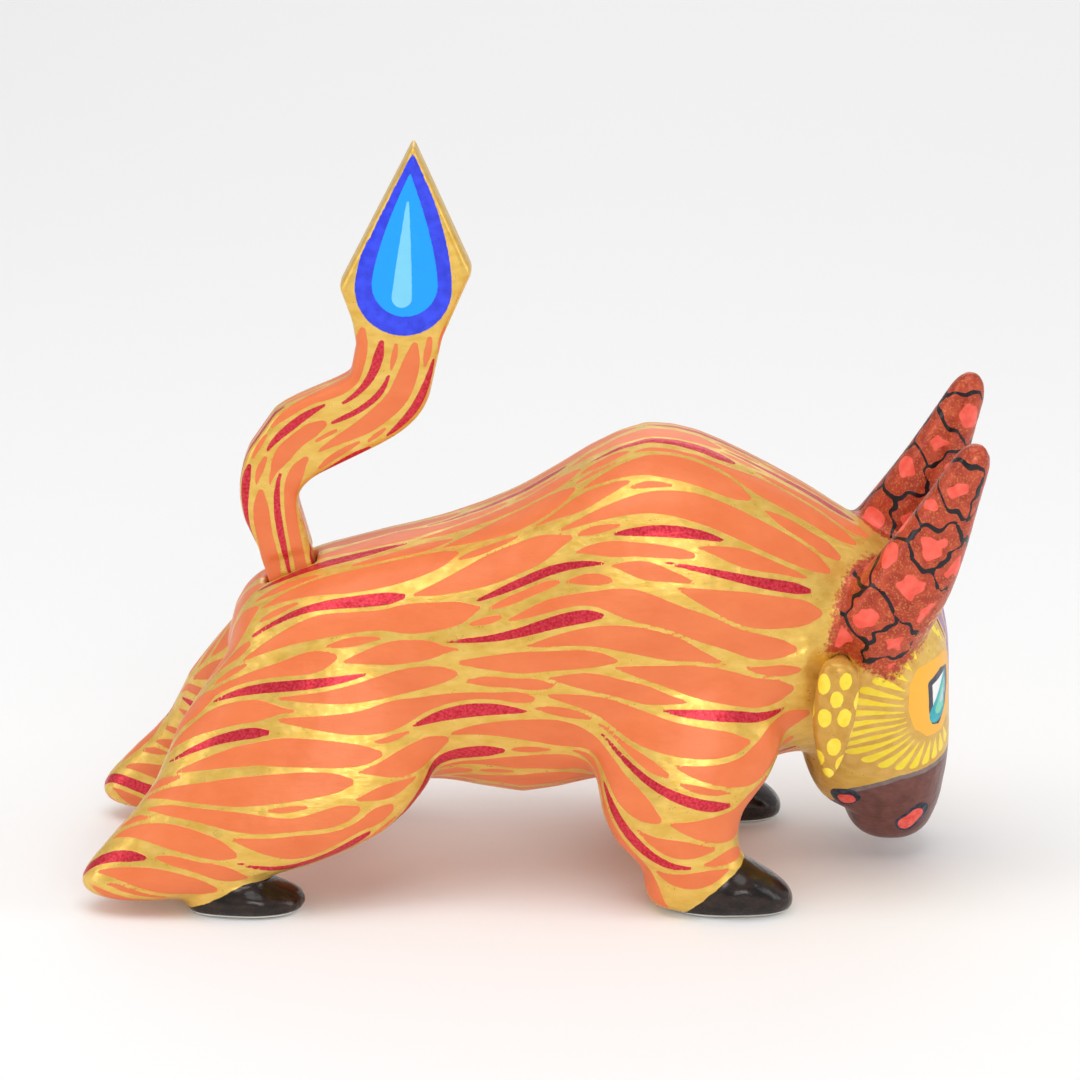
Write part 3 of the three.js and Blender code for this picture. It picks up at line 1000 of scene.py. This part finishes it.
def paint_head(head):
    give_face_marks(head)
    paint = gold_base("gold_paint")
    add_strokes(paint)
    tan = paint.mottled((214, 166, 74), (232, 190, 106), 3 * MM)
    face = paint.ramp(paint.stored("rays"), 2.9, 2.0)
    paint.layer(face, tan, 0.45, 0.25)
    yellow = paint.mottled((250, 222, 40), (255, 232, 74), 2 * MM)
    paint.layer(paint.inside("rays", 0.05, 0.14), yellow, 0.4, 0.0, 0.05)
    paint.layer(paint.inside("patch", 0.06, 0.2, 2 * MM), (253, 186, 62), 0.42, 0.0, 0.04)
    purple = paint.mottled((140, 78, 158), (186, 130, 196), 1 * MM)
    paint.layer(paint.inside("purple", 0.12, 0.5), purple, 0.35, 0.3, 0.03)
    paint.layer(paint.inside("maroon", 0.05, 0.15), (84, 24, 62), 0.35, 0.2, 0.03)
    paint.layer(paint.inside("streak", 0.06, 0.2), yellow, 0.4, 0.0, 0.03)
    navy = paint.mottled((20, 26, 42), (62, 70, 92), 1.2 * MM, None, 0.15)
    paint.layer(paint.inside("eye", 0.05, 0.14), navy, 0.3, 0.0, 0.05)
    paint.layer(paint.inside("white", 0.05, 0.08), (246, 246, 244), 0.35, 0.0, 0.03)
    teal = paint.mottled((0, 150, 172), (20, 186, 196), 1.5 * MM)
    paint.layer(paint.inside("iris", 0.05, 0.08), teal, 0.3, 0.0, 0.03)
    paint.layer(paint.inside("mint", 0.05, 0.08), (110, 214, 182), 0.3, 0.0, 0.03)
    paint.layer(paint.inside("glint", 0.08, 0.08), (206, 206, 226), 0.3, 0.0, 0.03)
    border = paint.mottled((112, 98, 98), (138, 120, 118), 2 * MM)
    paint.layer(paint.inside("muzzle", 0.06, 0.2, 2 * MM), border, 0.4, 0.0, 0.04)
    wobble = paint.math("MULTIPLY_ADD", paint.noise(2 * MM, 2.0), 0.5, -0.25)
    brown_gap = paint.math("ADD", paint.math("ADD", paint.stored("muzzle"), 1.25), wobble)
    brown = paint.mottled((98, 56, 50), (124, 76, 68), 2.5 * MM)
    paint.layer(paint.ramp(brown_gap, 0.06, -0.06), brown, 0.34, 0.0, 0.04)
    coral = paint.mottled((236, 70, 56), (255, 112, 98), 1.4 * MM)
    for ring, inner in (("nose_ring", "nose"), ("mouth_ring", "mouth")):
        paint.layer(paint.inside(ring, 0.06, 0.2), navy, 0.3, 0.0, 0.04)
        paint.layer(paint.inside(inner, 0.06, 0.15), coral, 0.38, 0.0, 0.05)
    add_horn_paint(paint)
    head.data.materials.append(paint.finish())


def paint_horn(horn):
    paint = gold_base("horn_paint_" + horn.name[-5:].strip("_"))
    add_horn_paint(paint)
    horn.data.materials.append(paint.finish())


# ---- ears and tail -------------------------------------------------------------------------------

OVAL_SQUEEZE = 0.72
OVALS_APART = 3.1


def paint_ear(ear, seat, dice):
    """Yellow ovals packed close on tan gold. The height is squeezed, so that round marks come out tall."""
    local = seat.local(points_of(ear.data)) * np.array((1.0, 1.0, OVAL_SQUEEZE))
    seeds = scattered(local[local[:, 2] < -1], OVALS_APART, dice)
    near, _, first, _ = nearest_marks(local, seeds)
    _, room, _, _ = nearest_marks(seeds + 1e-4, seeds)
    size = np.clip(room - 0.28, 0.9, 2.0)
    give(ear, "ovals", near - size[first])
    paint = gold_base("ear_paint_" + ear.name[-5:].strip("_"))
    paint.colour = paint.mottled((196, 146, 58), (216, 166, 78), 2.5 * MM)
    paint.metallic = 0.3
    yellow = paint.mottled((248, 214, 46), (255, 232, 80), 2 * MM)
    paint.layer(paint.inside("ovals", 0.06, 0.2), yellow, 0.4, 0.0, 0.06)
    ear.data.materials.append(paint.finish())


TAIL_FACE = 4.15  # the drop is painted on the tail's flat faces, this far from its middle
TAIL_LINE = ((-49, 58), (-51.5, 70), (-53, 79), (-52, 85), (-47.5, 91), (-40, 94.5), (-32, 97.5),
             (-29, 103), (-27.8, 111), (-26.5, 122), (-24.3, 150))


def tail_flow(point, normal):
    """Up the tail, along its middle line."""
    x, _, z = (point - CARVING) / MM
    best = None
    for (ax, az), (bx, bz) in zip(TAIL_LINE, TAIL_LINE[1:]):
        length = math.hypot(bx - ax, bz - az)
        share = min(max(((x - ax) * (bx - ax) + (z - az) * (bz - az)) / length ** 2, 0), 1)
        away = math.hypot(x - ax - share * (bx - ax), z - az - share * (bz - az))
        weight = math.exp(-away / 3.0) * length
        step = Vector((bx - ax, 0, bz - az)) / length * weight
        best = step if best is None else best + step
    best.normalize()
    way = best - normal * best.dot(normal)
    return way.normalized() if way.length > 0.05 else Vector((0, 1, 0))


def paint_tail(tail):
    """Strokes up to the drop, and the drop's three blues on both flat faces."""
    points = points_of(tail.data)
    local = CARVING_SEAT.local(points)
    flat = local[:, [0, 2]]
    drop = drop_gap(flat, (-26.5, 121.1), (-24.4, 148.0), 9.4, 0.05, 1.65)
    azure = drop_gap(flat, (-26.2, 121.9), (-25.0, 144.0), 6.4, 0.02, 1.45)
    pale = drop_gap(flat, (-26.8, 119.2), (-25.5, 138.2), 1.95, 0.25, 1.2)
    edge = TAIL_FACE - np.abs(local[:, 1])
    room = np.minimum.reduce([drop - 0.6, 114.5 - local[:, 2], local[:, 2] - 52]) * MM
    canvas = Canvas(tail, tail_flow, room, seed=5)
    orange = empty_layer(points)
    red = empty_layer(points)
    paint_strokes(canvas, orange, red, 0.75, 12 * MM)
    give(tail, "orange", orange / MM)
    give(tail, "red", red / MM)
    for name, gap in (("drop", drop), ("azure", azure), ("pale", pale)):
        give(tail, name, np.maximum(gap, edge))
    paint = gold_base("tail_paint")
    add_strokes(paint)
    blue = paint.mottled((38, 54, 214), (54, 76, 246), 2 * MM)
    paint.layer(paint.inside("drop", 0.06, 0.16), blue, 0.35, 0.0, 0.05)
    paint.layer(paint.inside("azure", 0.06, 0.14), (0, 160, 252), 0.35, 0.0, 0.04)
    paint.layer(paint.inside("pale", 0.06, 0.12), (122, 210, 244), 0.35, 0.0, 0.04)
    tail.data.materials.append(paint.finish())


# ---- hidden wood and nail ------------------------------------------------------------------------

def plain_wood(obj):
    paint = Paint("bare_copal_wood", 0.0)
    paint.colour = paint.mottled((196, 158, 108), (226, 194, 146), 2.0 * MM, (0.15, 1.0, 1.0))
    paint.roughness = paint.ramp(paint.noise(1 * MM), 0.3, 0.7, 0.6, 0.8)
    paint.raise_by(paint.math("MULTIPLY", paint.noise(0.8 * MM, 3.0, (0.1, 1, 1)), 0.1))
    obj.data.materials.clear()
    obj.data.materials.append(paint.finish(0.0))


def plain_steel(obj):
    paint = Paint("nail_steel", 1.0)
    paint.colour = paint.mottled((120, 118, 114), (160, 158, 154), 1.0 * MM)
    paint.roughness = paint.ramp(paint.noise(0.5 * MM), 0.3, 0.7, 0.28, 0.45)
    paint.raise_by(paint.math("MULTIPLY", paint.noise(0.4 * MM), 0.03))
    obj.data.materials.clear()
    obj.data.materials.append(paint.finish(0.0))


# ---- the whole figure ----------------------------------------------------------------------------

def build_figure():
    body, horns = carve_skins()
    ears = {
        RIGHT: subdivided(single_skin("painted_ear_right", "ear_right", EAR_VOXEL, 6)),
        LEFT: subdivided(single_skin("painted_ear_left", "ear_left", EAR_VOXEL, 6)),
    }
    tail = single_skin("painted_tail", "tail", TAIL_VOXEL, 14)
    dice = random.Random(3)
    seeds = {side: scatter_horn(side, body, horns[side], dice) for side in (RIGHT, LEFT)}
    give_horn_marks(body, (RIGHT, LEFT), seeds)
    stroke_skin(body)
    head = subdivided(head_off(body, "painted_head"))
    give_horn_marks(head, (RIGHT, LEFT), seeds)
    for side in (RIGHT, LEFT):
        give_horn_marks(horns[side], (side,), seeds)
        paint_horn(horns[side])
        paint_ear(ears[side], EAR[side], dice)
    paint_body(body)
    paint_head(head)
    paint_tail(tail)
    plain_wood(nodes["neck_dowel"])
    plain_steel(nodes["neck_nail"])
    for piece in (body, head, *horns.values(), *ears.values()):
        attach(piece, "figure")
    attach(tail, "tail")
    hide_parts("body_block")
    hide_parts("head")
    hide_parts("horn_right")
    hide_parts("horn_left")
    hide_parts("ear_right")
    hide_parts("ear_left")
    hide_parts("tail")


build_figure()
make_studio()
